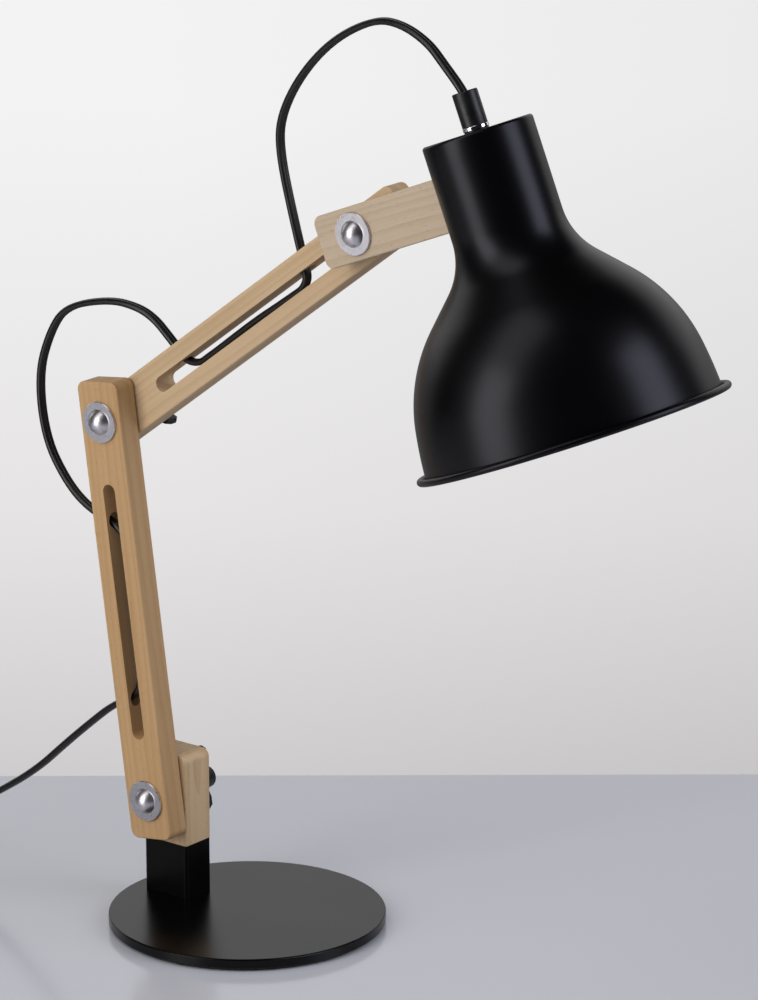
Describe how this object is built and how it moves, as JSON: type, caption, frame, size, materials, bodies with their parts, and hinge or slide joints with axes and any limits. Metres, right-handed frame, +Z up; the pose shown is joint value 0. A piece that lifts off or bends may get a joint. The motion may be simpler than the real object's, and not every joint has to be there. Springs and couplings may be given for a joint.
{
  "type": "swing arm desk lamp",
  "caption": "Desk lamp with slotted wooden arms on friction pivots, a spun metal bell shade, a round steel base and a cord threaded through the arms.",
  "frame": {"origin": "centre of the round base's underside, on the table", "axes": "+Z up, +X from the post towards the shade, -Y towards the domed bolt heads, pivots along Y"},
  "size_m": [0.6614, 0.257, 0.5483],
  "materials": {
    "black_steel": "satin",
    "steel": "polished",
    "chrome": "polished",
    "black_shade": "satin",
    "beech": "oiled",
    "beech_light": "oiled",
    "black_plastic": "matt",
    "white_plastic": "matt",
    "opal": "frosted",
    "led_plate": "matt",
    "brass": "polished",
    "porcelain": "glazed",
    "pad": "matt",
    "cord": "satin"
  },
  "bodies": {
    "root": {"base_pad": "pad", "base_plate": "black_steel", "block_screw": "steel", "coil_tie": "black_plastic", "cord_coil": "cord", "cord_coil_lead": "cord", "cord_floor_lead": "cord", "cord_plug_lead": "cord", "cord_tail": "cord", "pivot_block": "beech", "plug_body": "black_plastic", "plug_pins": "brass", "plug_relief": "black_plastic", "post_foot": "steel", "post_screws": "steel", "post_tube": "black_steel", "switch_base": "black_plastic", "switch_cover": "black_plastic"},
    "lower": {"lower_arm": "beech", "base_bolt": "steel", "base_front_washer": "steel", "base_rear_washer": "steel", "base_friction_washer": "black_plastic", "elbow_bolt": "steel", "elbow_front_washer": "steel", "elbow_rear_washer": "steel", "elbow_friction_washer": "black_plastic", "cord_lower_run": "cord"},
    "upper": {"upper_arm": "beech", "cord_upper_run": "cord", "cord_elbow_loop": "cord"},
    "head": {"head_link": "beech_light", "shade": "black_shade", "link_screws": "steel", "cord_collar": "black_plastic", "ring": "chrome", "cord_grip": "black_plastic", "nipple": "steel", "locknut": "steel", "holder_cap": "black_plastic", "holder_body": "black_plastic", "holder_core": "porcelain", "holder_shell": "brass", "holder_contact": "brass", "bulb_tip": "black_plastic", "bulb_cap": "brass", "bulb_collar": "white_plastic", "bulb_plate": "led_plate", "bulb_globe": "opal", "wrist_bolt": "steel", "wrist_front_washer": "steel", "wrist_rear_washer": "steel", "wrist_friction_washer": "black_plastic", "cord_head_loop": "cord"},
    "base_nut": {"base_wing_nut": "black_steel"},
    "elbow_nut": {"elbow_wing_nut": "black_steel"},
    "wrist_nut": {"wrist_wing_nut": "black_steel"},
    "rocker": {"switch_rocker": "black_plastic"}
  },
  "joints": [
    {"name": "base_pivot", "type": "hinge", "parent": "root", "child": "lower", "pos_m": [-0.0534, 0, 0.0693], "axis": [0, 1, 0], "range_deg": [-30, 30], "deforming": ["cord_tail"]},
    {"name": "elbow_pivot", "type": "hinge", "parent": "lower", "child": "upper", "pos_m": [-0.08381, 0, 0.29072], "axis": [0, 1, 0], "range_deg": [-45, 35], "deforming": ["cord_elbow_loop"]},
    {"name": "wrist_pivot", "type": "hinge", "parent": "upper", "child": "head", "pos_m": [0.10213, 0, 0.42947], "axis": [0, 1, 0], "range_deg": [-60, 60], "deforming": ["cord_head_loop"]},
    {"name": "base_nut_turn", "type": "hinge", "parent": "lower", "child": "base_nut", "pos_m": [-0.0534, 0.015, 0.0693], "axis": [0, 1, 0], "continuous": true},
    {"name": "elbow_nut_turn", "type": "hinge", "parent": "lower", "child": "elbow_nut", "pos_m": [-0.08381, 0.01, 0.29072], "axis": [0, 1, 0], "continuous": true},
    {"name": "wrist_nut_turn", "type": "hinge", "parent": "head", "child": "wrist_nut", "pos_m": [0.10213, 0.01, 0.42947], "axis": [0, 1, 0], "continuous": true},
    {"name": "rocker_tilt", "type": "hinge", "parent": "root", "child": "rocker", "pos_m": [-0.324, -0.112, 0.0107], "axis": [1, 0, 0], "range_deg": [-8, 0]}
  ]
}
